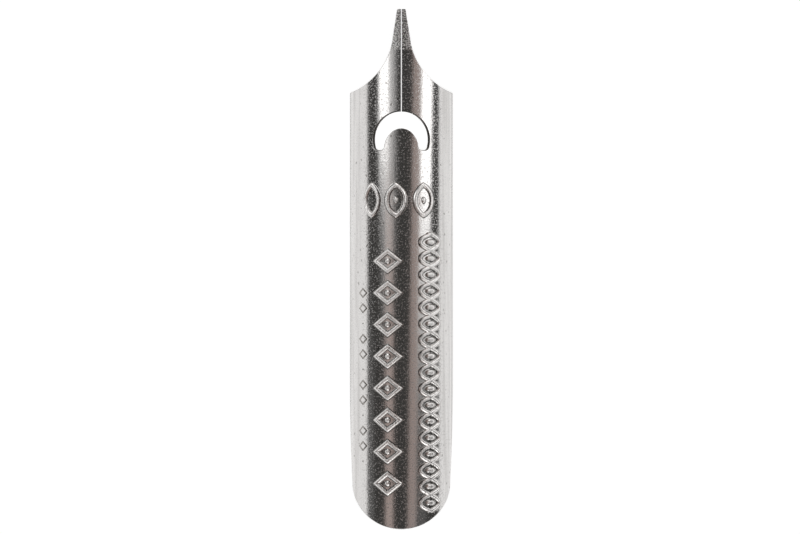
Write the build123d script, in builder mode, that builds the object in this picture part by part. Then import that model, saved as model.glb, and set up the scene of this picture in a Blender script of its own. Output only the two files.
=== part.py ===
from build123d import *
import os

# A steel nib for a dip pen: one punched sheet, rolled to a half round, with a
# crescent vent, and a slit that parts its point into two tines.
# +Y runs to the point, +Z is up through the crown, and both rims lie on Z = 0.
# The sheet is rolled about the Y axis.  All sizes are in millimetres.

# Rolled sheet
nib_length = 37.0
outside_radius = 3.675
sheet_thickness = 0.25

# Heel: half an ellipse as seen from above, a little narrower than the barrel, with
# rims that rise to meet it
heel_inset = 0.165
heel_round_length = 3.23
rim_rise_length = 7.0

# Shoulders, measured back from the point and in from the rims
shoulder_setback = 5.90
shoulder_step = 0.22
shoulder_land = 0.525

# Tines
tip_width = 0.62
tip_corner_radius = 0.08
neck_width = 1.40
neck_setback = 2.50
flank_radius = 4.85
slit_width = 0.06
root_lead = 0.18
root_clearance = 0.03

# Vent: a disc less an elliptical tongue, cut off square and rounded at its two horns
vent_setback = 7.30
vent_diameter = 3.98
vent_depth = 2.72
tongue_setback = 1.18
tongue_width = 2.50
tongue_length = 2.98
horn_radius = 0.26

# Places along the nib that follow from those sizes
tip_y = nib_length / 2
heel_y = -nib_length / 2
heel_round_y = heel_y + heel_round_length
rim_rise_y = heel_round_y + rim_rise_length
shoulder_y = tip_y - shoulder_setback
neck_y = tip_y - neck_setback
vent_y = tip_y - vent_setback
root_y = shoulder_y + shoulder_step + root_lead
heel_half_width = outside_radius - heel_inset
rim_rise = (outside_radius**2 - heel_half_width**2) ** 0.5

# The punched sheet seen from above, without its vent and slit
with BuildSketch() as outline:
    with BuildLine() as right_half:
        tip = Line((0, tip_y), (tip_width / 2, tip_y))
        tine_side = Line(tip @ 1, (neck_width / 2, neck_y))
        shoulder = Line(
            (outside_radius - shoulder_land, shoulder_y + shoulder_step),
            (outside_radius, shoulder_y),
        )
        flank = RadiusArc(tine_side @ 1, shoulder @ 0, -flank_radius)
        rim = Line(shoulder @ 1, (outside_radius, heel_round_y))
        rim_end = Line(rim @ 1, (heel_half_width, heel_round_y))
        heel = EllipticalCenterArc(
            (0, heel_round_y),
            heel_half_width,
            heel_round_length,
            start_angle=270,
            arc_size=90,
        )
        mirror(about=Plane.YZ)
    make_face()
    tip_corners = outline.vertices().group_by(Axis.Y)[-1].sort_by(Axis.X)
    fillet([tip_corners[0], tip_corners[-1]], tip_corner_radius)

# The vent seen from above
with BuildSketch() as vent:
    with Locations((0, vent_y - vent_diameter / 2)):
        Circle(vent_diameter / 2)
    with Locations((0, vent_y - vent_depth)):
        Rectangle(
            vent_diameter,
            vent_depth,
            align=(Align.CENTER, Align.MIN),
            mode=Mode.INTERSECT,
        )
    with Locations((0, vent_y - tongue_setback - tongue_length / 2)):
        Ellipse(tongue_width / 2, tongue_length / 2, mode=Mode.SUBTRACT)
    fillet(vent.vertices().group_by(Axis.Y)[0], horn_radius)

# The half round former that the sheet is rolled over.  Its round face is the outside
# of the sheet: the outline trims it, and the vent, slit and tine roots part it.
with BuildPart() as former:
    with BuildSketch(Plane.XZ):
        Circle(outside_radius)
        Rectangle(
            2 * outside_radius,
            outside_radius,
            align=(Align.CENTER, Align.MIN),
            mode=Mode.INTERSECT,
        )
    extrude(amount=nib_length, both=True)
    extrude(outline.sketch, amount=outside_radius, mode=Mode.INTERSECT)
    extrude(vent.sketch, amount=outside_radius, mode=Mode.SUBTRACT)
    with BuildSketch(Plane.YZ):
        with BuildLine():
            Polyline(
                (rim_rise_y, 0),
                (heel_round_y, rim_rise),
                (heel_round_y, 0),
                (rim_rise_y, 0),
            )
        make_face()
    extrude(amount=outside_radius, both=True, mode=Mode.SUBTRACT)
    with BuildSketch():
        with Locations((0, vent_y - tongue_setback / 2)):
            Rectangle(slit_width, nib_length, align=(Align.CENTER, Align.MIN))
        with Locations((0, root_y)):
            Rectangle(
                2 * outside_radius,
                root_clearance,
                align=(Align.CENTER, Align.MIN),
            )
    extrude(amount=outside_radius, mode=Mode.SUBTRACT)

round_faces = former.faces().filter_by(GeomType.CYLINDER)
sheet_faces = round_faces.filter_by(lambda face: abs(face.radius - outside_radius) < 1e-6)
body_face = sheet_faces.sort_by(Axis.Y)[0]
left_face, right_face = sheet_faces.sort_by(Axis.Y)[1:].sort_by(Axis.X)

os.makedirs("parts", exist_ok=True)

# The half round body, from the heel to the shoulders
with BuildPart() as nib_body:
    thicken(body_face, amount=-sheet_thickness)
nib_body.part.label = "nib_body"
export_step(nib_body.part, "parts/nib_body.step")

# The tine at -X
with BuildPart() as left_tine:
    thicken(left_face, amount=-sheet_thickness)
left_tine.part.label = "left_tine"
export_step(left_tine.part, "parts/left_tine.step")

# The tine at +X
with BuildPart() as right_tine:
    thicken(right_face, amount=-sheet_thickness)
right_tine.part.label = "right_tine"
export_step(right_tine.part, "parts/right_tine.step")
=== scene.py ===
"""A steel nib for a dip pen on a pale studio floor, laid out as a Blender add-on.

The nib is one punched sheet, rolled to a half round.  Its outline, vent and slit are
drawn as seen from above and unrolled, and its ornament is drawn on the flat sheet, as
(round the barrel, along it).  Every point is then rolled about the Y axis.  +Y runs to
the point and +Z is up.
"""

import math
from collections import namedtuple
from types import SimpleNamespace

import bpy
import numpy as np
from bpy.props import FloatProperty, FloatVectorProperty, IntProperty, PointerProperty
from bpy.types import Operator, Panel, PropertyGroup
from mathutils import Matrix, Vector, geometry, kdtree


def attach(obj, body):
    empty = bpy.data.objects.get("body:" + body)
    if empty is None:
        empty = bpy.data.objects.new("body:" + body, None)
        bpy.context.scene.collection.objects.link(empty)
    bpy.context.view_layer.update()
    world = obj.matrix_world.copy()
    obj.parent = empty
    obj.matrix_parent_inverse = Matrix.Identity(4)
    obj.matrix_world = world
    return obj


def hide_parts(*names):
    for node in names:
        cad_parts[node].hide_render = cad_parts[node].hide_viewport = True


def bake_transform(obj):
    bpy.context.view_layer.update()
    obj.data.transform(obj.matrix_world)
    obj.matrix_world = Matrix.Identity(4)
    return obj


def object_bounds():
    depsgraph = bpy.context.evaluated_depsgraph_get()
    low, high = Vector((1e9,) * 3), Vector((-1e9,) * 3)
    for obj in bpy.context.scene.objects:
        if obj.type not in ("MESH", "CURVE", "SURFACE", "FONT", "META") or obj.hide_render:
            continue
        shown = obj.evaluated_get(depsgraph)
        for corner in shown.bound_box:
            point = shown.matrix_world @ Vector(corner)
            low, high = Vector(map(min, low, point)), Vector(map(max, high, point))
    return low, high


bl_info = {
    "name": "Dip Pen Nib",
    "version": (1, 0, 0),
    "blender": (4, 5, 0),
    "location": "3D View > Sidebar > Nib",
    "description": "Builds a pressed steel nib and its studio",
    "category": "Object",
}

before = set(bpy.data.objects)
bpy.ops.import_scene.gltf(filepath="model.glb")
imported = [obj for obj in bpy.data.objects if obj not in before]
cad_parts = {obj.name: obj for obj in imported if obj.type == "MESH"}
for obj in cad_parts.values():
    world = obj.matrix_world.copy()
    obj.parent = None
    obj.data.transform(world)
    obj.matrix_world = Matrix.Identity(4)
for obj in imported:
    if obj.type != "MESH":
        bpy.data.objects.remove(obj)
CAD_LOW, CAD_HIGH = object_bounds()

MM = 0.001

# Points on each curve as drawn, before it is traced at an even spacing
CURVE_POINTS = 400


# ---------------------------------------------------------------- properties


def distance(name, description, default):
    """A length property in metres."""
    return FloatProperty(
        name=name, description=description, default=default, min=0.0, precision=5, unit="LENGTH"
    )


def share(name, description, default):
    """A number from 0 to 1."""
    return FloatProperty(
        name=name, description=description, default=default, min=0.0, max=1.0, subtype="FACTOR"
    )


def tint(name, description, default):
    """A linear colour."""
    return FloatVectorProperty(
        name=name, description=description, default=default, size=3, min=0.0, subtype="COLOR"
    )


class NibSizes(PropertyGroup):
    """Sizes of the punched and rolled sheet."""

    length: distance("Length", "From heel to point", CAD_HIGH.y - CAD_LOW.y)
    radius: distance("Radius", "Outside radius of the rolled barrel", CAD_HIGH.x)
    thickness: distance("Thickness", "Thickness of the steel", 0.25 * MM)
    edge_round: distance("Edge rounding", "Radius that tumbling leaves on the edges", 0.05 * MM)
    vent_round: distance("Vent rounding", "Radius that the punch leaves round the vent", 0.09 * MM)
    slit_round: distance("Slit rounding", "Radius along the slit", 0.03 * MM)
    heel_inset: distance("Heel inset", "How far the heel's sides stand in", 0.165 * MM)
    heel_round: distance("Heel round", "Length of the rounded heel", 3.23 * MM)
    rim_rise: distance("Rim rise", "Length over which the rims rise to the heel", 7.0 * MM)
    shoulder_setback: distance("Shoulder setback", "From the point to the shoulders", 5.9 * MM)
    shoulder_step: distance("Shoulder step", "How far a shoulder slopes forward", 0.22 * MM)
    shoulder_land: distance("Shoulder land", "Width of a sloping shoulder", 0.525 * MM)
    tip_width: distance("Tip width", "Width of the writing point", 0.62 * MM)
    tip_round: distance("Tip corner", "Radius of the point's corners", 0.08 * MM)
    neck_width: distance("Neck width", "Width of the tines at the neck", 1.4 * MM)
    neck_setback: distance("Neck setback", "From the point to the neck", 2.5 * MM)
    flank_radius: distance("Flank radius", "Radius of the hollow flanks", 4.85 * MM)
    slit_width: distance("Slit width", "Width of the slit", 0.06 * MM)
    vent_setback: distance("Vent setback", "From the point to the vent", 7.3 * MM)
    vent_width: distance("Vent width", "Diameter of the vent's outer edge", 3.98 * MM)
    vent_depth: distance("Vent depth", "From the vent's top to its horns", 2.72 * MM)
    tongue_setback: distance("Tongue setback", "From the vent's top to the tongue", 1.18 * MM)
    tongue_width: distance("Tongue width", "Width of the tongue", 2.5 * MM)
    tongue_length: distance("Tongue length", "Length of the tongue's ellipse", 2.98 * MM)
    horn_round: distance("Horn round", "Radius of the vent's horns", 0.26 * MM)
    spacing: distance("Outline spacing", "Distance between outline points", 0.1 * MM)
    fine_spacing: distance("Fine spacing", "Grid that carries the ornament", 0.05 * MM)
    round_steps: IntProperty(
        name="Edge steps", description="Facets in each rounded edge", default=3, min=1, max=8
    )


class OrnamentSizes(PropertyGroup):
    """Sizes of the ornament that the die presses into the sheet."""

    height: distance("Height", "How far the strokes are raised", 0.09 * MM)
    stroke: distance("Stroke", "Width of a raised stroke", 0.22 * MM)
    ramp: distance("Ramp", "Width of a stroke's sloping side", 0.18 * MM)
    mark_depth: distance("Mark depth", "Depth of the small cut marks", 0.02 * MM)
    mark_width: distance("Mark width", "Width of a cut line", 0.10 * MM)


class SteelLook(PropertyGroup):
    """Colours and finish of the steel."""

    steel: tint("Steel", "Polished steel", (0.70, 0.685, 0.675))
    ground: tint("Ground steel", "Steel ground at the point", (0.58, 0.57, 0.56))
    # Dark colour for grime in the pits, and for the painted shade at the strokes' feet, the rims
    # and the edges' roundings
    grime_and_shade: tint("Grime", "Dull film in hollows", (0.20, 0.185, 0.17))
    polish: share("Roughness", "Roughness of the polished barrel", 0.15)
    ground_roughness: share("Ground roughness", "Roughness of the ground point", 0.33)
    speck_roughness: share("Speck roughness", "Extra roughness of the dull specks", 0.24)
    speckle_height: distance("Speckle height", "Depth of the tumbled grain", 0.005 * MM)
    ground_length: distance("Ground length", "Length of the ground point", 2.9 * MM)
    # Where the painted shade by the rims starts
    rim_shade_start: distance("Film start", "Where the dull film by the rims starts", 4.75 * MM)


class StudioLook(PropertyGroup):
    """Camera, lights and floor."""

    camera_height: distance("Camera height", "Camera above the floor", 0.6)
    view_width: distance("View width", "Width that the camera sees", 57.05 * MM)
    tent_radius: distance("Tent radius", "From the nib to the light tent", 0.04)
    overhead_power: FloatProperty(
        name="Overhead light", description="Power of the softbox", default=1.0, unit="POWER"
    )
    softbox_size: distance("Softbox size", "Side of the overhead softbox", 0.4)
    softbox_height: distance("Softbox height", "Overhead softbox above the floor", 0.5)
    floor_size: distance("Floor size", "Side of the floor", 2.4)
    floor_drop: distance("Floor drop", "From the nib's rims down to the floor", 0.02 * MM)
    floor_glow: FloatProperty(
        name="Floor brightness", description="Light that the floor gives off", default=0.80
    )
    surround: tint("Surround", "Dark studio round the nib", (0.052, 0.051, 0.049))
    backdrop: tint("Backdrop", "Pale backdrop behind the nib", (1.0, 1.0, 1.0))


# ---------------------------------------------------------------- outline

# A stretch of outline: its points on the flat sheet, the rounding of its edge, the
# distance between traced points, and how dark its rounding is painted, a painted shade
Edge = namedtuple("Edge", "points round spacing dull")

# How dark an edge's rounding is painted, a painted shade, by how the edge was finished
TUMBLED = 0.55
SHEARED = 1.0
PUNCHED = 1.8

# The seam between body and tine starts at this angle on the vent's circle, in degrees,
# and ends at this point of the flank, counted from the neck
SEAM_ANGLE = 66.0
SEAM_END = int(0.9 * (CURVE_POINTS - 1))

# The tongue is drawn from this angle on its ellipse, below the horns, in degrees
TONGUE_START = -30

# The outline turns a corner where the sine of its turn is over this
CORNER_TURN = 0.3


def smooth(t):
    """0 below 0, 1 above 1, and an even slope between them."""
    t = np.clip(t, 0.0, 1.0)
    return t * t * (3.0 - 2.0 * t)


def arc(centre, radii, start, end):
    """Points on an ellipse from one angle to another, in degrees."""
    angle = np.radians(np.linspace(start, end, CURVE_POINTS))
    return np.column_stack(
        [centre[0] + radii[0] * np.cos(angle), centre[1] + radii[1] * np.sin(angle)]
    )


def line(start, end):
    """Points on a straight line."""
    return np.linspace(start, end, CURVE_POINTS)


def unrolled(sizes, plan):
    """The flat sheet's coordinates of points seen from above."""
    side = np.clip(plan[:, 0] / sizes.radius, -1.0, 1.0)
    return np.column_stack([sizes.radius * np.arcsin(side), plan[:, 1]])


def places(sizes):
    """Where the nib's features lie, in metres."""
    tip = sizes.length / 2
    at = SimpleNamespace(tip=tip, heel=-tip)
    at.heel_round = at.heel + sizes.heel_round
    at.rim_rise = at.heel_round + sizes.rim_rise
    at.shoulder = tip - sizes.shoulder_setback
    at.neck = tip - sizes.neck_setback
    at.vent = tip - sizes.vent_setback
    at.vent_centre = at.vent - sizes.vent_width / 2
    at.horn = at.vent - sizes.vent_depth
    at.tongue_centre = at.vent - sizes.tongue_setback - sizes.tongue_length / 2
    at.heel_side = sizes.radius - sizes.heel_inset
    at.rim_lift = math.sqrt(sizes.radius**2 - at.heel_side**2)
    return at


def flank(sizes):
    """The hollow flank as seen from above, from the neck to the shoulder."""
    at = places(sizes)
    start = np.array([sizes.neck_width / 2, at.neck])
    end = np.array([sizes.radius - sizes.shoulder_land, at.shoulder + sizes.shoulder_step])
    chord = end - start
    half = np.linalg.norm(chord) / 2
    outward = np.array([-chord[1], chord[0]]) / (2 * half)
    centre = (start + end) / 2 + outward * math.sqrt(sizes.flank_radius**2 - half**2)
    angles = [math.degrees(math.atan2(*(p - centre)[::-1])) for p in (start, end)]
    return arc(centre, (sizes.flank_radius,) * 2, *angles)


def vent_half(sizes):
    """The vent's right half as seen from above: outer edge, horn and tongue."""
    at = places(sizes)
    r = sizes.horn_round
    outer = sizes.vent_width / 2
    centre_y = at.horn + r
    horn_x = math.sqrt((outer - r) ** 2 - (centre_y - at.vent_centre) ** 2)
    horn_angle = math.degrees(math.atan2(centre_y - at.vent_centre, horn_x))
    tongue_radii = (sizes.tongue_width / 2, sizes.tongue_length / 2)
    tongue = arc((0, at.tongue_centre), tongue_radii, TONGUE_START, 90)
    run = np.gradient(tongue, axis=0)
    normal = np.column_stack([run[:, 1], -run[:, 0]]) / np.linalg.norm(run, axis=1)[:, None]
    offset = tongue + r * normal
    cut = int(np.argmin(np.abs(offset[:, 1] - centre_y)))
    inner_x = offset[cut, 0]
    inner_angle = math.degrees(math.atan2(normal[cut, 1], normal[cut, 0])) - 180
    near, fine = sizes.spacing, sizes.spacing / 2
    vent_side = arc((0, at.vent_centre), (outer, outer), SEAM_ANGLE, horn_angle)
    return [
        (vent_side, sizes.vent_round, near, PUNCHED),
        (arc((horn_x, centre_y), (r, r), horn_angle, -90), sizes.vent_round, fine, PUNCHED),
        (line((horn_x, at.horn), (inner_x, at.horn)), sizes.vent_round, fine, TUMBLED),
        (arc((inner_x, centre_y), (r, r), -90, inner_angle), sizes.edge_round, fine, TUMBLED),
        (tongue[cut:], sizes.edge_round, near, TUMBLED),
    ]


def seam(sizes):
    """From the vent to the flank: the line where the visible tine starts."""
    at = places(sizes)
    outer = sizes.vent_width / 2
    angle = math.radians(SEAM_ANGLE)
    start = (outer * math.cos(angle), at.vent_centre + outer * math.sin(angle))
    return line(start, flank(sizes)[SEAM_END])


def tine_edges(sizes):
    """The right tine's outline, anticlockwise from the foot of the slit."""
    at = places(sizes)
    outer = sizes.vent_width / 2
    slit = sizes.slit_width / 2
    slit_angle = math.degrees(math.acos(slit / outer))
    slit_foot = at.vent_centre + math.sqrt(outer**2 - slit**2)
    corner = sizes.tip_width / 2
    side = flank(sizes)[0] - (corner, at.tip)
    slope = math.degrees(math.atan2(side[0], -side[1]))
    reach = sizes.tip_round * math.tan(math.radians((90 - slope) / 2))
    side_end = (corner, at.tip) + side / np.linalg.norm(side) * reach
    tip_centre = (corner - reach, at.tip - sizes.tip_round)
    near, fine = sizes.spacing, sizes.spacing / 4
    vent_top = arc((0, at.vent_centre), (outer, outer), slit_angle, SEAM_ANGLE)
    edges = [
        (vent_top, sizes.vent_round, near, PUNCHED),
        (seam(sizes), 0.0, near, 0.0),
        (flank(sizes)[SEAM_END::-1], sizes.edge_round, near, TUMBLED),
        (line(flank(sizes)[0], side_end), sizes.edge_round, near, TUMBLED),
        (arc(tip_centre, (sizes.tip_round,) * 2, slope, 90), sizes.edge_round, fine, TUMBLED),
        (line((tip_centre[0], at.tip), (slit, at.tip)), sizes.edge_round, fine * 2, TUMBLED),
        (line((slit, at.tip), (slit, slit_foot)), sizes.slit_round, near, PUNCHED),
    ]
    return [Edge(unrolled(sizes, points), *rest) for points, *rest in edges]


def body_edges(sizes):
    """The body's outline, anticlockwise from the right end of its seam."""
    at = places(sizes)
    near = sizes.spacing
    inner = [Edge(unrolled(sizes, seam(sizes)[::-1]), 0.0, near, 0.0)]
    for points, rounding, step, dull in vent_half(sizes):
        inner.append(Edge(unrolled(sizes, points), rounding, step, dull))
    lift = np.linspace(at.rim_lift, 0, CURVE_POINTS)
    rise = np.column_stack(
        [
            sizes.radius * np.arccos(lift / sizes.radius),
            np.linspace(at.heel_round, at.rim_rise, CURVE_POINTS),
        ]
    )
    rim = sizes.radius * math.pi / 2
    heel = arc((0, at.heel_round), (at.heel_side, sizes.heel_round), -90, 0)
    shoulder = line(
        (sizes.radius, at.shoulder),
        (sizes.radius - sizes.shoulder_land, at.shoulder + sizes.shoulder_step),
    )
    runs = [
        (unrolled(sizes, heel), near, SHEARED),
        (rise, near, TUMBLED),
        (line((rim, at.rim_rise), (rim, at.shoulder)), near * 2, TUMBLED),
        (unrolled(sizes, shoulder), near / 2, TUMBLED),
        (unrolled(sizes, flank(sizes)[: SEAM_END - 1 : -1]), near, TUMBLED),
    ]
    outer = [Edge(points, sizes.edge_round, step, dull) for points, step, dull in runs]
    return inner + mirrored(inner) + mirrored(outer) + outer


def mirrored(edges):
    """The same edges across the nib's middle, still anticlockwise."""
    return [e._replace(points=e.points[::-1] * (-1, 1)) for e in reversed(edges)]


def traced(edges):
    """Evenly spaced outline points, with the rounding and painted edge shade of the edge after
    each.
    """
    points, rounding, edge_shading = [], [], []
    for edge in edges:
        steps = np.linalg.norm(np.diff(edge.points, axis=0), axis=1)
        along = np.concatenate([[0], np.cumsum(steps)])
        count = max(1, round(along[-1] / edge.spacing))
        stops = np.linspace(0, along[-1], count + 1)[:-1]
        points.append(
            np.column_stack([np.interp(stops, along, edge.points[:, k]) for k in (0, 1)])
        )
        rounding.append(np.full(count, edge.round))
        edge_shading.append(np.full(count, edge.dull))
    return np.concatenate(points), np.concatenate(rounding), np.concatenate(edge_shading)


def inset_of(points, rounding):
    """How far each outline point moves in for a full rounding, and its outward direction."""
    after = np.roll(points, -1, axis=0) - points
    after /= np.linalg.norm(after, axis=1)[:, None]
    inward = np.column_stack([-after[:, 1], after[:, 0]])
    before = np.roll(inward, 1, axis=0)
    before_round = np.roll(rounding, 1)
    turn = before[:, 0] * inward[:, 1] - before[:, 1] * inward[:, 0]
    straight = np.abs(turn) < CORNER_TURN
    turn = np.where(straight, 1.0, turn)
    crossing = np.column_stack(
        [
            (before_round * inward[:, 1] - rounding * before[:, 1]) / turn,
            (rounding * before[:, 0] - before_round * inward[:, 0]) / turn,
        ]
    )
    middle = (before + inward) / np.linalg.norm(before + inward, axis=1)[:, None]
    plain = middle * ((before_round + rounding) / 2)[:, None]
    shift = np.where(straight[:, None], plain, crossing)
    pull = before * before_round[:, None] + inward * rounding[:, None]
    size = np.linalg.norm(pull, axis=1)[:, None]
    return shift, np.where(size > 0, -pull / np.maximum(size, 1e-12), 0.0)


# ---------------------------------------------------------------- ornament

# A row of leaves behind the vent: the middle of each round the barrel, its half width,
# and whether it has a bead
LEAF_ROW = 4.9 * MM
LEAVES = (
    (-2.24 * MM, 0.56 * MM, False),
    (-0.40 * MM, 0.64 * MM, True),
    (1.65 * MM, 0.64 * MM, True),
)
LEAF_HALF_HEIGHT = 1.08 * MM
LEAF_BEAD = 0.08 * MM
LEAF_BEAD_SQUEEZE = 1.6

# A column of beaded lozenges to the left of the crown
LOZENGE_COLUMN = -0.99 * MM
LOZENGE_FIRST = 0.57 * MM
LOZENGE_PITCH = 2.26 * MM
LOZENGE_COUNT = 8
LOZENGE_HALF_WIDTH = 0.86 * MM
LOZENGE_HALF_HEIGHT = 0.70 * MM
LOZENGE_BEAD = 0.04 * MM

# A braid to the right of the crown, its stroke a little narrower than the others, with
# a long bead in each eye
BRAID_COLUMN = 2.20 * MM
BRAID_TOP = 2.5 * MM
BRAID_PITCH = 1.16 * MM
BRAID_COUNT = 17
BRAID_HALF_WIDTH = 0.80 * MM
BRAID_STROKE = 0.9
BRAID_BEAD = 0.05 * MM
BRAID_BEAD_STRETCH = 0.5

# A column of small cut lozenges by the left rim, in which every third mark is a dot.  A
# cut's sloping side is a share of its width, and the fine grid reaches round the column.
MARK_COLUMN = -3.06 * MM
MARK_FIRST = -1.7 * MM
MARK_PITCH = 1.09 * MM
MARK_COUNT = 12
MARK_DOT_EVERY = 3
MARK_HALF_WIDTH = 0.40 * MM
MARK_HALF_HEIGHT = 0.30 * MM
MARK_RAMP = 0.6
MARK_REACH_S = 0.6 * MM
MARK_REACH_Y = 0.5 * MM

# Half the step over which the ornament's slope is measured
PROBE = 0.01 * MM


def raised(gap, width, ramp):
    """1 on a stroke's flat top and 0 beside it, from the distance to its middle."""
    return 1.0 - smooth((gap - (width - ramp) / 2) / ramp)


def braid(s, down):
    """Distance to two waves that cross and part, over the braid's length."""
    length = BRAID_COUNT * BRAID_PITCH
    on = np.clip(down, 0.0, length)
    turn = math.pi / BRAID_PITCH
    wave = BRAID_HALF_WIDTH * np.sin(turn * on)
    slope = BRAID_HALF_WIDTH * turn * np.cos(turn * on)
    beside = np.minimum(np.abs(s - wave), np.abs(s + wave)) / np.hypot(1.0, slope)
    return np.hypot(beside, down - on)


def leaf(s, y, half_width, half_height):
    """Distance to a pointed leaf's outline."""
    radius = (half_height**2 + half_width**2) / (2 * half_width)
    return np.abs(np.hypot(np.abs(s) + radius - half_width, y) - radius)


def lozenge(s, y, half_width, half_height):
    """Distance to a lozenge's outline."""
    scale = half_width * half_height / math.hypot(half_width, half_height)
    return np.abs(np.abs(s) / half_width + np.abs(y) / half_height - 1) * scale


def relief(ornament, s, y):
    """Height of the pressed ornament over the plain sheet at flat coordinates."""
    up = np.zeros_like(s)

    def press(gap, width=ornament.stroke):
        np.maximum(up, raised(gap, width, ornament.ramp), out=up)

    in_leaf_row = np.abs(y - LEAF_ROW) < LEAF_HALF_HEIGHT + ornament.stroke
    for centre, half_width, beaded in LEAVES:
        gap = leaf(s - centre, y - LEAF_ROW, half_width, LEAF_HALF_HEIGHT)
        press(np.where(in_leaf_row, gap, 1.0))
        if beaded:
            press(np.hypot((s - centre) * LEAF_BEAD_SQUEEZE, y - LEAF_ROW) - LEAF_BEAD)
    for k in range(LOZENGE_COUNT):
        row = LOZENGE_FIRST - k * LOZENGE_PITCH
        press(lozenge(s - LOZENGE_COLUMN, y - row, LOZENGE_HALF_WIDTH, LOZENGE_HALF_HEIGHT))
        press(np.hypot(s - LOZENGE_COLUMN, y - row) - LOZENGE_BEAD)
    press(braid(s - BRAID_COLUMN, BRAID_TOP - y), ornament.stroke * BRAID_STROKE)
    for k in range(BRAID_COUNT):
        row = BRAID_TOP - (k + 0.5) * BRAID_PITCH
        press(np.hypot((s - BRAID_COLUMN) * BRAID_BEAD_STRETCH, y - row) - BRAID_BEAD)
    height = up * ornament.height
    for k in range(MARK_COUNT):
        row = MARK_FIRST - k * MARK_PITCH
        if (k + 1) % MARK_DOT_EVERY == 0:
            gap = np.hypot(s - MARK_COLUMN, y - row)
        else:
            gap = lozenge(s - MARK_COLUMN, y - row, MARK_HALF_WIDTH, MARK_HALF_HEIGHT)
        cut = raised(gap, ornament.mark_width, ornament.mark_width * MARK_RAMP)
        height -= cut * ornament.mark_depth
    return height


def marked(s, y):
    """Which flat points lie close to the small cut marks."""
    low = MARK_FIRST - MARK_COUNT * MARK_PITCH
    beside = np.abs(s - MARK_COLUMN) < MARK_REACH_S
    return beside & (y > low) & (y < MARK_FIRST + MARK_REACH_Y)


def relief_slope(ornament, flat, step):
    """How fast the ornament's height changes at flat points, along a step each way."""
    ahead = relief(ornament, flat[:, 0] + step[0], flat[:, 1] + step[1])
    behind = relief(ornament, flat[:, 0] - step[0], flat[:, 1] - step[1])
    return (ahead - behind) / (2 * max(step))


# ---------------------------------------------------------------- sheet meshes

# The plain grid's cell, in fine spacings round the barrel and along it
PLAIN_CELL = (2, 8)

# The grid is fine where the height changes by this much within this many fine spacings
PRESSED_CHANGE = 0.0015 * MM
CELL_REACH = 1.2

# Every grid point keeps this many fine spacings away from the outline
OUTLINE_CLEARANCE = 0.8

# Points closer than this are one point to the triangulation, in millimetres
SAME_POINT = 1e-7


def inside(points, outline):
    """Which points lie inside a closed outline."""
    result = np.zeros(len(points), bool)
    x, y = points[:, 0], points[:, 1]
    for (ax, ay), (bx, by) in zip(outline, np.roll(outline, -1, axis=0)):
        if ay == by:
            continue
        crossed = (ay > y) != (by > y)
        result ^= crossed & (x < (bx - ax) * (y - ay) / (by - ay) + ax)
    return result


def grid(outline, step_s, step_y):
    """Lattice points over an outline's box."""
    low, high = outline.min(0), outline.max(0)
    columns = np.arange(math.floor(low[0] / step_s), math.ceil(high[0] / step_s) + 1) * step_s
    rows = np.arange(math.floor(low[1] / step_y), math.ceil(high[1] / step_y) + 1) * step_y
    s, y = np.meshgrid(columns, rows)
    return np.column_stack([s.ravel(), y.ravel()])


def face_points(sizes, ornament, outline):
    """Points inside an outline: a plain grid, and a fine one where the sheet is pressed."""
    fine = sizes.fine_spacing
    coarse = grid(outline, PLAIN_CELL[0] * fine, PLAIN_CELL[1] * fine)
    close = grid(outline, fine, fine)
    span = CELL_REACH * fine
    around = [
        relief(ornament, close[:, 0] + ds, close[:, 1] + dy)
        for ds, dy in ((0, 0), (span, 0), (-span, 0), (0, span), (0, -span))
    ]
    pressed = np.ptp(np.array(around), axis=0) > PRESSED_CHANGE

    # The cut marks are smaller than the pressed strokes, and get points between points
    tight = close[pressed & marked(close[:, 0], close[:, 1])]
    half = fine / 2
    extra = [tight + move for move in ((half, 0), (0, half), (half, half))]
    keys = np.round(np.concatenate([coarse, close[pressed], *extra]) / half).astype(int)
    points = np.unique(keys, axis=0) * half
    points = points[inside(points, outline)]
    tree = kdtree.KDTree(len(outline))
    for k, (s, y) in enumerate(outline):
        tree.insert((s, y, 0), k)
    tree.balance()
    clear = [tree.find((s, y, 0))[2] > OUTLINE_CLEARANCE * fine for s, y in points]
    return points[np.array(clear)]


def triangles(outline, points):
    """Triangles that fill an outline through its own and the inner points."""
    every = np.concatenate([outline, points])
    count = len(outline)
    ring = [(k, (k + 1) % count) for k in range(count)]
    flat = [Vector(p) for p in every / MM]
    made = geometry.delaunay_2d_cdt(flat, ring, [], 0, SAME_POINT)
    if len(made[0]) != len(every):
        raise RuntimeError("the outline crosses itself or a point lies on it")
    faces = np.array(made[2])
    corners = every[faces]
    faces = faces[inside(corners.mean(axis=1), outline)]
    a, b, c = every[faces[:, 0]], every[faces[:, 1]], every[faces[:, 2]]
    area = (b[:, 0] - a[:, 0]) * (c[:, 1] - a[:, 1]) - (b[:, 1] - a[:, 1]) * (c[:, 0] - a[:, 0])
    flipped = area < 0
    faces[flipped] = faces[flipped][:, ::-1]
    return faces


def rolled(radius, flat, height):
    """Points of the rolled sheet, at heights over its outside."""
    angle = flat[:, 0] / radius
    reach = radius + height
    return np.column_stack([reach * np.sin(angle), flat[:, 1], reach * np.cos(angle)])


def directions(radius, flat, out, across, along):
    """Unit vectors with those parts away from the axis, round the barrel and along it."""
    angle = flat[:, 0] / radius
    sine, cosine = np.sin(angle), np.cos(angle)
    made = np.column_stack([out * sine + across * cosine, along, out * cosine - across * sine])
    return made / np.linalg.norm(made, axis=1)[:, None]


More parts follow.
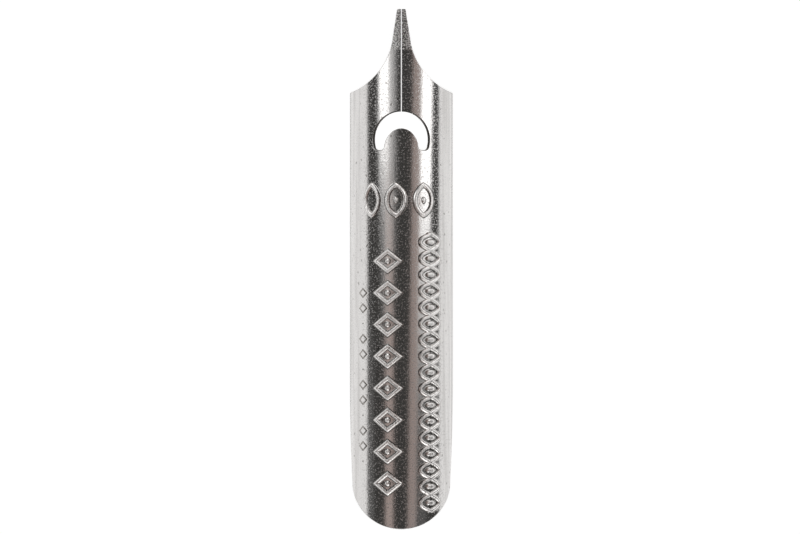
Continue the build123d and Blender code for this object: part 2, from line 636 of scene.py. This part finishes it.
def sheet_piece(name, sizes, ornament, edges):
    """A closed piece of rolled sheet with rounded edges and pressed ornament."""
    outline, rounding, edge_shading = traced(edges)
    shift, outward = inset_of(outline, rounding)
    rim = outline + shift
    middle = face_points(sizes, ornament, rim)
    faces = triangles(rim, middle)
    surface = np.concatenate([rim, middle])
    count, total = len(rim), len(surface)

    height = relief(ornament, surface[:, 0], surface[:, 1])
    slope_s = relief_slope(ornament, surface, (PROBE, 0))
    slope_y = relief_slope(ornament, surface, (0, PROBE))
    out = directions(sizes.radius, surface, np.ones(total), -slope_s, -slope_y)

    # Each ring of the edge: the share of its inset that is left, its depth under the
    # outside face, and the turn of its normal from that face's
    turns = np.linspace(0, math.pi / 2, sizes.round_steps + 1)
    rings = [(1 - math.sin(t), sizes.edge_round * (1 - math.cos(t)), t) for t in turns]
    rings += [(left, sizes.thickness - depth, math.pi - t) for left, depth, t in reversed(rings)]
    points = [rolled(sizes.radius, surface, height)]
    normals = [out]
    flats = [np.column_stack([surface, np.zeros(total)])]
    edge_shade = [np.zeros(total)]
    starts = [0]

    # Along the seam the sheet isn't rounded, and its normals stay with the faces
    free = np.linalg.norm(outward, axis=1) > 0.5
    for left, depth, turn in rings[1:-1]:
        flat = outline + shift * left
        starts.append(sum(len(p) for p in points))
        points.append(rolled(sizes.radius, flat, np.full(count, -depth)))
        up = np.where(free, math.cos(turn), 1.0 if turn < math.pi / 2 else -1.0)
        aside, ahead = (outward * math.sin(turn)).T
        normals.append(directions(sizes.radius, flat, up, aside, ahead))
        flats.append(np.column_stack([flat, np.full(count, depth / sizes.thickness)]))
        # How dark each ring is painted, a painted shade that grows as the ring turns from the
        # outside face
        edge_shade.append(np.where(free, np.minimum(math.sin(turn) * edge_shading, 1.0), 0.0))
    starts.append(sum(len(p) for p in points))
    points.append(rolled(sizes.radius, surface, height - sizes.thickness))
    normals.append(-out)
    flats.append(np.column_stack([surface, np.ones(total)]))
    edge_shade.append(np.zeros(total))

    here = np.arange(count)
    after = np.roll(here, -1)
    walls = [
        np.column_stack([here + a, here + b, after + b, after + a])
        for a, b in zip(starts[:-1], starts[1:])
    ]
    shell = faces.tolist() + (faces[:, ::-1] + starts[-1]).tolist()
    for wall in walls:
        shell += wall.tolist()

    mesh = bpy.data.meshes.new(name)
    mesh.from_pydata(np.concatenate(points).tolist(), [], shell)
    flats = np.concatenate(flats)
    flats[:, :2] /= MM
    layer = mesh.attributes.new("sheet", "FLOAT_VECTOR", "POINT")
    layer.data.foreach_set("vector", flats.astype(np.float32).ravel())
    press = np.zeros(len(flats))
    press[:total] = height / ornament.height
    press[starts[-1]:] = height / ornament.height
    # The edge attribute carries the edges' painted shade, and press the ornament's height
    for title, values in (("edge", np.concatenate(edge_shade)), ("press", press)):
        layer = mesh.attributes.new(title, "FLOAT", "POINT")
        layer.data.foreach_set("value", values.astype(np.float32))
    mesh.polygons.foreach_set("use_smooth", np.ones(len(mesh.polygons), bool))
    mesh.update()
    mesh.normals_split_custom_set_from_vertices(np.concatenate(normals).tolist())
    piece = bpy.data.objects.new(name, mesh)
    bpy.context.scene.collection.objects.link(piece)
    return piece


# ---------------------------------------------------------------- materials


def feed(tree, socket, value):
    """Link a socket to another, or set its value."""
    if isinstance(value, bpy.types.NodeSocket):
        tree.links.new(value, socket)
    else:
        socket.default_value = value


def add(tree, kind, inputs=None, **options):
    """A shader node with its options, and its inputs as values or links."""
    made = tree.nodes.new("ShaderNode" + kind)
    for name, value in options.items():
        setattr(made, name, value)
    for name, value in (inputs or {}).items():
        feed(tree, made.inputs[name], value)
    return made


def arithmetic(tree, operation, *values, clamp=False):
    """The result of a Math node."""
    made = add(tree, "Math", dict(enumerate(values)), operation=operation, use_clamp=clamp)
    return made.outputs[0]


def ramp_up(tree, value, start, end):
    """0 at start and 1 at end, smoothly."""
    made = add(
        tree,
        "MapRange",
        {"Value": value, "From Min": start, "From Max": end},
        interpolation_type="SMOOTHSTEP",
    )
    return made.outputs["Result"]


def grain(tree, where, cells, detail=2.0, roughness=0.5):
    """Noise with so many cells to a unit of length each way."""
    mapped = add(tree, "Mapping", {"Vector": where, "Scale": cells})
    place = mapped.outputs["Vector"]
    inputs = {"Vector": place, "Scale": 1.0, "Detail": detail, "Roughness": roughness}
    return add(tree, "TexNoise", inputs).outputs["Fac"]


# The sockets of a Mix node that mixes colours
MIX_AMOUNT = 0
MIX_FIRST = 6
MIX_SECOND = 7
MIX_RESULT = 2


def blend_colour(tree, amount, first, second):
    """One colour, with an amount of another in it."""
    inputs = {MIX_AMOUNT: amount, MIX_FIRST: first, MIX_SECOND: second}
    return add(tree, "Mix", inputs, data_type="RGBA").outputs[MIX_RESULT]


def shade(colour, factor=1.0):
    """A colour made lighter or darker, for a socket."""
    return (*[factor * c for c in colour], 1.0)


# Cells to a millimetre of each grain, round the barrel, along it and through the sheet
STREAK_CELLS = (9.0, 0.35, 1.0)
SPECKLE_CELLS = (9.0, 7.5, 1.0)
SPECK_CELLS = (8.0, 8.0, 1.0)
MOTTLE_CELLS = (1.3, 0.9, 1.0)
PIT_CELLS = (3.2, 2.6, 1.0)
SCUFF_CELLS = (1.1, 9.0, 1.0)
GRINDING_CELLS = (0.9, 13.0, 1.0)
GRIT_CELLS = (9.0, 7.0, 1.0)
WEAR_CELLS = (2.2, 2.2, 1.0)
# The streaks in the painted shade by the rims
RIM_SHADE_CELLS = (2.4, 0.12, 1.0)

# Where the cross grinding grows strong before the point, where its faint part starts
# behind the vent, and where it ends and is full beside the crown, in millimetres
GRINDING_AHEAD = (10.9, 12.0)
GRINDING_BEHIND = (-4.0, 3.0)
GRINDING_FAINT = 0.4
GRINDING_SIDES = (3.6, 2.2)

# Widths over which the ground point starts and the two tines' colours part
POINT_FADE = 0.08
TINE_FADE = 0.02

# The ground point's bright grit, and the dark of the left and right tine beneath it; the right
# tine's deeper dark is painted shade
GRIT_BRIGHT = 1.7
GRIT_DARK_LEFT = 0.45
GRIT_DARK_RIGHT = 0.32

# Over how many millimetres the rims' painted shade grows, and where its streaks do, before it
RIM_SHADE_FADE = 0.5
RIM_SHADE_STREAKS_FROM = 1.6
RIM_SHADE_STREAKS_FULL = 1.2

# The height that a bump of 1 stands for
BUMP_HEIGHT = 0.004 * MM


def steel_material(look, sizes):
    """Polished, tumbled steel with rolling streaks, cross grinding and a ground point, and painted
    shade and highlights.
    """
    found = bpy.data.materials.get("pressed_steel")
    if found:
        return found
    material = bpy.data.materials.new("pressed_steel")
    material.use_nodes = True
    tree = material.node_tree
    shader = tree.nodes["Principled BSDF"]
    sheet = add(tree, "Attribute", attribute_name="sheet").outputs["Vector"]
    # The edge attribute is how dark the edges' roundings are painted, a painted shade
    edge = add(tree, "Attribute", attribute_name="edge").outputs["Fac"]
    press = add(tree, "Attribute", attribute_name="press").outputs["Fac"]
    parts = add(tree, "SeparateXYZ", {"Vector": sheet})
    across, along = parts.outputs["X"], parts.outputs["Y"]
    sideways = arithmetic(tree, "ABSOLUTE", across)

    streaks = grain(tree, sheet, STREAK_CELLS, detail=4.0, roughness=0.6)
    speckle = grain(tree, sheet, SPECKLE_CELLS, roughness=0.6)
    specks = ramp_up(tree, grain(tree, sheet, SPECK_CELLS, detail=1.0), 0.52, 0.66)
    mottle = grain(tree, sheet, MOTTLE_CELLS, detail=3.0, roughness=0.6)
    pits = ramp_up(tree, grain(tree, sheet, PIT_CELLS, detail=1.0), 0.69, 0.76)
    scuffs = grain(tree, sheet, SCUFF_CELLS, detail=3.0, roughness=0.7)
    scuffs = ramp_up(tree, scuffs, 0.55, 0.75)

    # Cross grinding, strong between the vent and the ground point and faint behind the vent
    grinding = grain(tree, sheet, GRINDING_CELLS, detail=3.0, roughness=0.65)
    behind = ramp_up(tree, along, *GRINDING_BEHIND)
    behind = arithmetic(tree, "MULTIPLY", behind, GRINDING_FAINT)
    ground_across = arithmetic(tree, "MAXIMUM", ramp_up(tree, along, *GRINDING_AHEAD), behind)
    by_crown = ramp_up(tree, sideways, *GRINDING_SIDES)
    on_front = arithmetic(tree, "MULTIPLY", ground_across, by_crown)

    # The point is ground along its last few millimetres, each tine by itself, and the right tine
    # is painted darker than the left, a painted shade
    point_start = (sizes.length / 2 - look.ground_length) / MM
    on_point = ramp_up(tree, along, point_start - POINT_FADE, point_start + POINT_FADE)
    right_tine = ramp_up(tree, across, -TINE_FADE, TINE_FADE)
    grit = grain(tree, sheet, GRIT_CELLS, roughness=0.7)
    grit = ramp_up(tree, grit, 0.42, 0.58)
    dark_left = shade(look.ground, GRIT_DARK_LEFT)
    dark_right = shade(look.ground, GRIT_DARK_RIGHT)
    ground = blend_colour(tree, right_tine, dark_left, dark_right)
    ground = blend_colour(tree, grit, ground, shade(look.ground, GRIT_BRIGHT))

    # The die rubs the raised strokes rough, and they are painted lighter, a painted highlight;
    # their feet are painted darker, a painted shade
    wear = ramp_up(tree, grain(tree, sheet, WEAR_CELLS), 0.30, 0.58)
    wear = arithmetic(tree, "MULTIPLY_ADD", wear, 0.3, 0.7)
    rubbed_and_highlight = arithmetic(tree, "MULTIPLY", ramp_up(tree, press, 0.45, 0.95), wear)
    foot_shade = arithmetic(tree, "SUBTRACT", 1.0, ramp_up(tree, press, 0.25, 0.55))
    foot_shade = arithmetic(tree, "MULTIPLY", ramp_up(tree, press, 0.01, 0.10), foot_shade)
    cut = ramp_up(tree, press, -0.03, -0.22)

    # Painted shade lies along the rims, and in faint streaks before it, for the floor's shade
    # beside the nib that the rims reflect
    shade_start = look.rim_shade_start / MM
    rim_shade = ramp_up(tree, sideways, shade_start, shade_start + RIM_SHADE_FADE)
    rim_shade = arithmetic(tree, "MULTIPLY", rim_shade, 0.8)
    streaked = ramp_up(tree, grain(tree, sheet, RIM_SHADE_CELLS, detail=3.0), 0.42, 0.68)
    streaks_start = shade_start - RIM_SHADE_STREAKS_FROM
    by_rim = ramp_up(tree, sideways, streaks_start, shade_start - RIM_SHADE_STREAKS_FULL)
    streaked = arithmetic(tree, "MULTIPLY", streaked, by_rim)
    film = arithmetic(tree, "MULTIPLY_ADD", streaked, 0.22, rim_shade, clamp=True)

    colour = blend_colour(tree, mottle, shade(look.steel), shade(look.steel, 0.90))
    colour = blend_colour(tree, on_point, colour, ground)
    # The raised strokes are painted lighter, a painted highlight
    colour = blend_colour(tree, rubbed_and_highlight, colour, shade(look.steel, 1.45))
    # Grime darkens the pits; the strokes' feet, the rims and the edges' roundings are painted
    # darker, a painted shade; the cut marks are coloured darker
    for amount, strength, grime_and_shade in (
        (pits, 0.7, shade(look.grime_and_shade)),
        (foot_shade, 0.85, shade(look.grime_and_shade)),
        (cut, 0.9, shade(look.grime_and_shade, 1.4)),
        (film, 1.0, shade(look.grime_and_shade)),
        (edge, 1.0, shade(look.grime_and_shade, 0.25)),
    ):
        amount = arithmetic(tree, "MULTIPLY", amount, strength)
        colour = blend_colour(tree, amount, colour, grime_and_shade)
    tree.links.new(colour, shader.inputs["Base Color"])

    rough = arithmetic(tree, "MULTIPLY_ADD", streaks, 0.10, look.polish - 0.05)
    for amount, strength in (
        (specks, look.speck_roughness),
        (scuffs, 0.12),
        (rubbed_and_highlight, 0.30),
        (on_point, look.ground_roughness - look.polish),
    ):
        rough = arithmetic(tree, "MULTIPLY_ADD", amount, strength, rough)
    tree.links.new(rough, shader.inputs["Roughness"])

    height = arithmetic(tree, "MULTIPLY", streaks, 0.2)
    for amount, strength in (
        (speckle, look.speckle_height / BUMP_HEIGHT),
        (mottle, 1.2),
        (arithmetic(tree, "MULTIPLY", grinding, on_front), 0.7),
        (arithmetic(tree, "MULTIPLY", grit, on_point), 1.3),
        (pits, -0.8),
    ):
        height = arithmetic(tree, "MULTIPLY_ADD", amount, strength, height)
    bump = add(tree, "Bump", {"Height": height, "Strength": 1.0, "Distance": BUMP_HEIGHT})
    tree.links.new(bump.outputs["Normal"], shader.inputs["Normal"])
    shader.inputs["Metallic"].default_value = 1.0
    return material


# Cells to a metre of the floor's faint fibre, and the greys that it turns between
FIBRE_CELLS = (400.0, 400.0, 400.0)
FLOOR_DARK = (0.58, 0.58, 0.58, 1.0)
FLOOR_PALE = (0.62, 0.62, 0.62, 1.0)


def floor_material(look):
    """Pale matt floor that gives off light of its own."""
    material = bpy.data.materials.new("pale_floor")
    material.use_nodes = True
    tree = material.node_tree
    shader = tree.nodes["Principled BSDF"]
    where = add(tree, "TexCoord").outputs["Object"]
    fibre = grain(tree, where, FIBRE_CELLS, detail=3.0)
    colour = blend_colour(tree, fibre, FLOOR_DARK, FLOOR_PALE)
    tree.links.new(colour, shader.inputs["Base Color"])
    shader.inputs["Roughness"].default_value = 0.9
    shader.inputs["Specular IOR Level"].default_value = 0.0
    shader.inputs["Emission Color"].default_value = (1.0, 1.0, 1.0, 1.0)
    shader.inputs["Emission Strength"].default_value = look.floor_glow
    return material


# ---------------------------------------------------------------- stage


def make_world(look):
    """Dark studio that the steel reflects, with a pale backdrop behind it."""
    world = bpy.data.worlds.new("studio")
    bpy.context.scene.world = world
    world.use_nodes = True
    tree = world.node_tree
    tree.nodes.clear()
    dark = add(tree, "Background", {"Color": (*look.surround, 1.0), "Strength": 1.0})
    pale = add(tree, "Background", {"Color": (*look.backdrop, 1.0), "Strength": 1.0})
    seen = add(tree, "LightPath").outputs["Is Camera Ray"]
    mixed = add(tree, "MixShader", {0: seen, 1: dark.outputs[0], 2: pale.outputs[0]})
    add(tree, "OutputWorld", {"Surface": mixed.outputs[0]})


# A soft panel of the light tent, by where the nib reflects it to the camera: the angles
# round the barrel from its crown where the panel starts, is full, ends being full and
# ends, in degrees; how many degrees it leans round for each millimetre to the point;
# its radiance at places along the nib, in millimetres; and its colour
TentPanel = namedtuple("TentPanel", "angles lean levels colour")

NEUTRAL = (1.0, 1.0, 1.0)
ROSY = (1.0, 0.80, 0.74)

# The tent's end, and how far along the nib a panel leans, in millimetres
FAR = 80.0
LEAN_LIMIT = 20.0

# The tent's lattice round and along the nib, and the angle where its cloth ends
TENT_COLUMNS = 189
TENT_ROWS = 161
TENT_SIDE = 47.0

# The bright and soft panels left of the crown
LEFT_BRIGHT = TentPanel(
    (-27.5, -24, -16, -13),
    0.0,
    ((2, 0.0), (6, 0.25), (10.5, 2.0), (26, 2.0), (36, 0.3), (FAR, 0.2)),
    NEUTRAL,
)
LEFT_SOFT = TentPanel(
    (-16, -14, -12, -3),
    0.0,
    ((-2, 0.0), (3, 0.2), (7, 0.4), (10, 0.6), (28, 0.65), (36, 0.2), (FAR, 0.2)),
    NEUTRAL,
)
LEFT_ROSY = TentPanel(
    (-19.5, -16.5, -11, -7.5),
    0.0,
    ((-FAR, 0.42), (-3, 0.42), (3, 0.32), (8, 0.0)),
    ROSY,
)
LEFT_FAINT = TentPanel(
    (-26, -20, -17, -13),
    0.0,
    ((-5, 0.0), (-3, 0.12), (1, 0.18), (3, 0.2), (6, 0.3), (9, 0.0)),
    NEUTRAL,
)

# The leaning panels right of the crown
RIGHT_ROSY = TentPanel(
    (9.3, 11.8, 18.5, 21.0),
    0.2,
    ((-FAR, 0.33), (FAR, 0.36)),
    ROSY,
)
RIGHT_BRIGHT = TentPanel(
    (18.5, 21.0, 32.0, 35.0),
    0.28,
    (
        (-12, 0.06),
        (-6, 0.35),
        (-2.5, 0.75),
        (3, 1.1),
        (6, 2.0),
        (26, 2.0),
        (36, 0.3),
        (FAR, 0.2),
    ),
    NEUTRAL,
)

# Low panels along the left rim
LEFT_LOW = TentPanel((-60, -55, -42, -40.5), 0.0, ((-FAR, 1.0), (FAR, 1.0)), NEUTRAL)
LEFT_HEEL = TentPanel((-41, -38, -36, -30), 0.0, ((-FAR, 0.12), (-8, 0.08), (-3, 0.0)), NEUTRAL)

# The tent's two ends, which only the raised strokes turn to the camera
ENDS = TentPanel(
    (-36, -30, 30, 36),
    0.0,
    (
        (-FAR, 3.4),
        (-68, 3.4),
        (-60, 1.1),
        (-44, 1.0),
        (-34, 0.0),
        (34, 0.0),
        (44, 1.0),
        (60, 1.1),
        (68, 3.4),
        (FAR, 3.4),
    ),
    NEUTRAL,
)
PANELS = (
    LEFT_BRIGHT,
    LEFT_SOFT,
    LEFT_ROSY,
    LEFT_FAINT,
    RIGHT_ROSY,
    RIGHT_BRIGHT,
    LEFT_LOW,
    LEFT_HEEL,
    ENDS,
)


def panel_light(panel, seen, along):
    """A panel's radiance where the steel shows it."""
    start, full, fading, end = panel.angles
    seen = seen - panel.lean * np.clip(along, -LEAN_LIMIT, LEAN_LIMIT)
    rise = smooth((seen - start) / (full - start))
    fall = 1.0 - smooth((seen - fading) / (end - fading))
    stops, levels = zip(*panel.levels)
    return rise * fall * np.interp(along, stops, levels)


def make_tent(look, sizes):
    """A light tent with soft panels, close round the nib, which only its steel sees."""
    round_nib = np.linspace(-TENT_SIDE, TENT_SIDE, TENT_COLUMNS)
    seen, along = np.meshgrid(round_nib, np.linspace(-FAR, FAR, TENT_ROWS))
    seen, along = seen.ravel(), along.ravel()
    turned = np.radians(2 * seen)
    inner = sizes.radius / look.tent_radius
    angle = turned - np.arcsin(inner * np.sin(turned / 2))
    glow = np.outer(np.ones(len(seen)), look.surround)
    for panel in PANELS:
        glow += np.outer(panel_light(panel, seen, along), panel.colour)
    reach = look.tent_radius
    stretch = 1 + reach / look.camera_height
    points = np.column_stack(
        [reach * np.sin(angle), along * MM * stretch, np.maximum(reach * np.cos(angle), 0.0)]
    )
    index = np.arange(TENT_ROWS * TENT_COLUMNS).reshape(TENT_ROWS, TENT_COLUMNS)
    corners = (index[:-1, :-1], index[:-1, 1:], index[1:, 1:], index[1:, :-1])
    faces = np.column_stack([corner.ravel() for corner in corners])
    mesh = bpy.data.meshes.new("light_tent")
    mesh.from_pydata(points.tolist(), [], faces.tolist())
    layer = mesh.attributes.new("glow", "FLOAT_VECTOR", "POINT")
    layer.data.foreach_set("vector", glow.astype(np.float32).ravel())
    material = bpy.data.materials.new("tent_cloth")
    material.use_nodes = True
    tree = material.node_tree
    tree.nodes.clear()
    cloth = add(tree, "Attribute", attribute_name="glow").outputs["Color"]
    shine = add(tree, "Emission", {"Color": cloth, "Strength": 1.0})
    add(tree, "OutputMaterial", {"Surface": shine.outputs[0]})
    mesh.materials.append(material)
    tent = bpy.data.objects.new("light_tent", mesh)
    tent.visible_camera = False
    tent.visible_diffuse = False
    tent.visible_shadow = False
    bpy.context.scene.collection.objects.link(tent)


def make_floor_light(look):
    """A large soft light overhead that shades the floor round the nib."""
    light = bpy.data.lights.new("overhead_softbox", "AREA")
    light.shape = "SQUARE"
    light.size = look.softbox_size
    light.energy = look.overhead_power
    lamp = bpy.data.objects.new("overhead_softbox", light)
    lamp.location = (0, 0, look.softbox_height)
    lamp.visible_camera = False
    lamp.visible_glossy = False
    bpy.context.scene.collection.objects.link(lamp)


def make_floor(look):
    """A wide pale floor under the nib."""
    half = look.floor_size / 2
    corners = [(x * half, y * half) for x, y in ((-1, -1), (1, -1), (1, 1), (-1, 1))]
    mesh = bpy.data.meshes.new("floor")
    mesh.from_pydata([(x, y, -look.floor_drop) for x, y in corners], [], [(0, 1, 2, 3)])
    mesh.materials.append(floor_material(look))
    floor = bpy.data.objects.new("floor", mesh)
    bpy.context.scene.collection.objects.link(floor)


# The camera's film, the height that its view width is measured at, its place over the
# nib, and how near and far it sees
FILM_WIDTH = 36.0
MIDDLE_HEIGHT = 2.0 * MM
CAMERA_X = -0.095 * MM
CAMERA_Y = 0.15 * MM
NEAREST = 0.01
FARTHEST = 10.0


def make_camera(look):
    """A camera straight over the nib, with a long lens."""
    data = bpy.data.cameras.new("camera")
    data.sensor_width = FILM_WIDTH
    data.lens = FILM_WIDTH * (look.camera_height - MIDDLE_HEIGHT) / look.view_width
    data.clip_start = NEAREST
    data.clip_end = FARTHEST
    camera = bpy.data.objects.new("camera", data)
    camera.location = (CAMERA_X, CAMERA_Y, look.camera_height)
    bpy.context.scene.collection.objects.link(camera)
    bpy.context.scene.camera = camera


# ---------------------------------------------------------------- operators


def ornament_of(ornament):
    """The ornament's sizes, read once."""
    names = ("height", "stroke", "ramp", "mark_depth", "mark_width")
    return SimpleNamespace(**{name: getattr(ornament, name) for name in names})


def steel_piece(scene, name, edges):
    """A piece of the nib's sheet, in its steel."""
    piece = sheet_piece(name, scene.nib_sizes, ornament_of(scene.nib_ornament), edges)
    piece.data.materials.append(steel_material(scene.nib_steel, scene.nib_sizes))
    return piece


def bend_out(piece, sizes):
    """Bake a tine's placement into its mesh; the ends of its seam are found but not used."""
    start = Vector(seam(sizes)[0])
    end = Vector(seam(sizes)[-1])
    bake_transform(piece)


class NIB_OT_body(Operator):
    """Build the half round body with its vent and pressed ornament"""

    bl_idname = "nib.body"
    bl_label = "Body"

    def execute(self, context):
        scene = context.scene
        piece = steel_piece(scene, "nib_body_sheet", body_edges(scene.nib_sizes))
        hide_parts("nib_body")
        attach(piece, "nib_body")
        return {"FINISHED"}


class NIB_OT_tines(Operator):
    """Build the two tines, which part at the slit"""

    bl_idname = "nib.tines"
    bl_label = "Tines"

    def execute(self, context):
        scene = context.scene
        sizes = scene.nib_sizes
        right = tine_edges(sizes)
        for name, side, edges in (("left_tine", -1, mirrored(right)), ("right_tine", 1, right)):
            piece = steel_piece(scene, name + "_sheet", edges)
            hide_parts(name)
            bend_out(piece, sizes)
        return {"FINISHED"}


class NIB_OT_stage(Operator):
    """Set up the floor, soft lights and camera"""

    bl_idname = "nib.stage"
    bl_label = "Stage"

    def execute(self, context):
        look = context.scene.nib_studio
        context.scene.view_settings.view_transform = "Standard"
        make_world(look)
        make_floor(look)
        make_tent(look, context.scene.nib_sizes)
        make_floor_light(look)
        make_camera(look)
        return {"FINISHED"}


class NIB_PT_panel(Panel):
    """Builds the nib's pieces one by one"""

    bl_label = "Nib"
    bl_idname = "NIB_PT_panel"
    bl_space_type = "VIEW_3D"
    bl_region_type = "UI"
    bl_category = "Nib"

    def draw(self, context):
        for operator in OPERATORS:
            self.layout.operator(operator.bl_idname)


GROUPS = {
    "nib_sizes": NibSizes,
    "nib_ornament": OrnamentSizes,
    "nib_steel": SteelLook,
    "nib_studio": StudioLook,
}
OPERATORS = (NIB_OT_body, NIB_OT_tines, NIB_OT_stage)


def register():
    """Add the property groups, operators and panel."""
    for name, group in GROUPS.items():
        bpy.utils.register_class(group)
        setattr(bpy.types.Scene, name, PointerProperty(type=group))
    for kind in (*OPERATORS, NIB_PT_panel):
        bpy.utils.register_class(kind)


def unregister():
    """Take them away again."""
    for kind in (NIB_PT_panel, *reversed(OPERATORS)):
        bpy.utils.unregister_class(kind)
    for name, group in reversed(GROUPS.items()):
        delattr(bpy.types.Scene, name)
        bpy.utils.unregister_class(group)


def main():
    """Build the nib and its studio."""
    register()
    bpy.ops.nib.body()
    bpy.ops.nib.tines()
    bpy.ops.nib.stage()


if __name__ == "__main__":
    main()
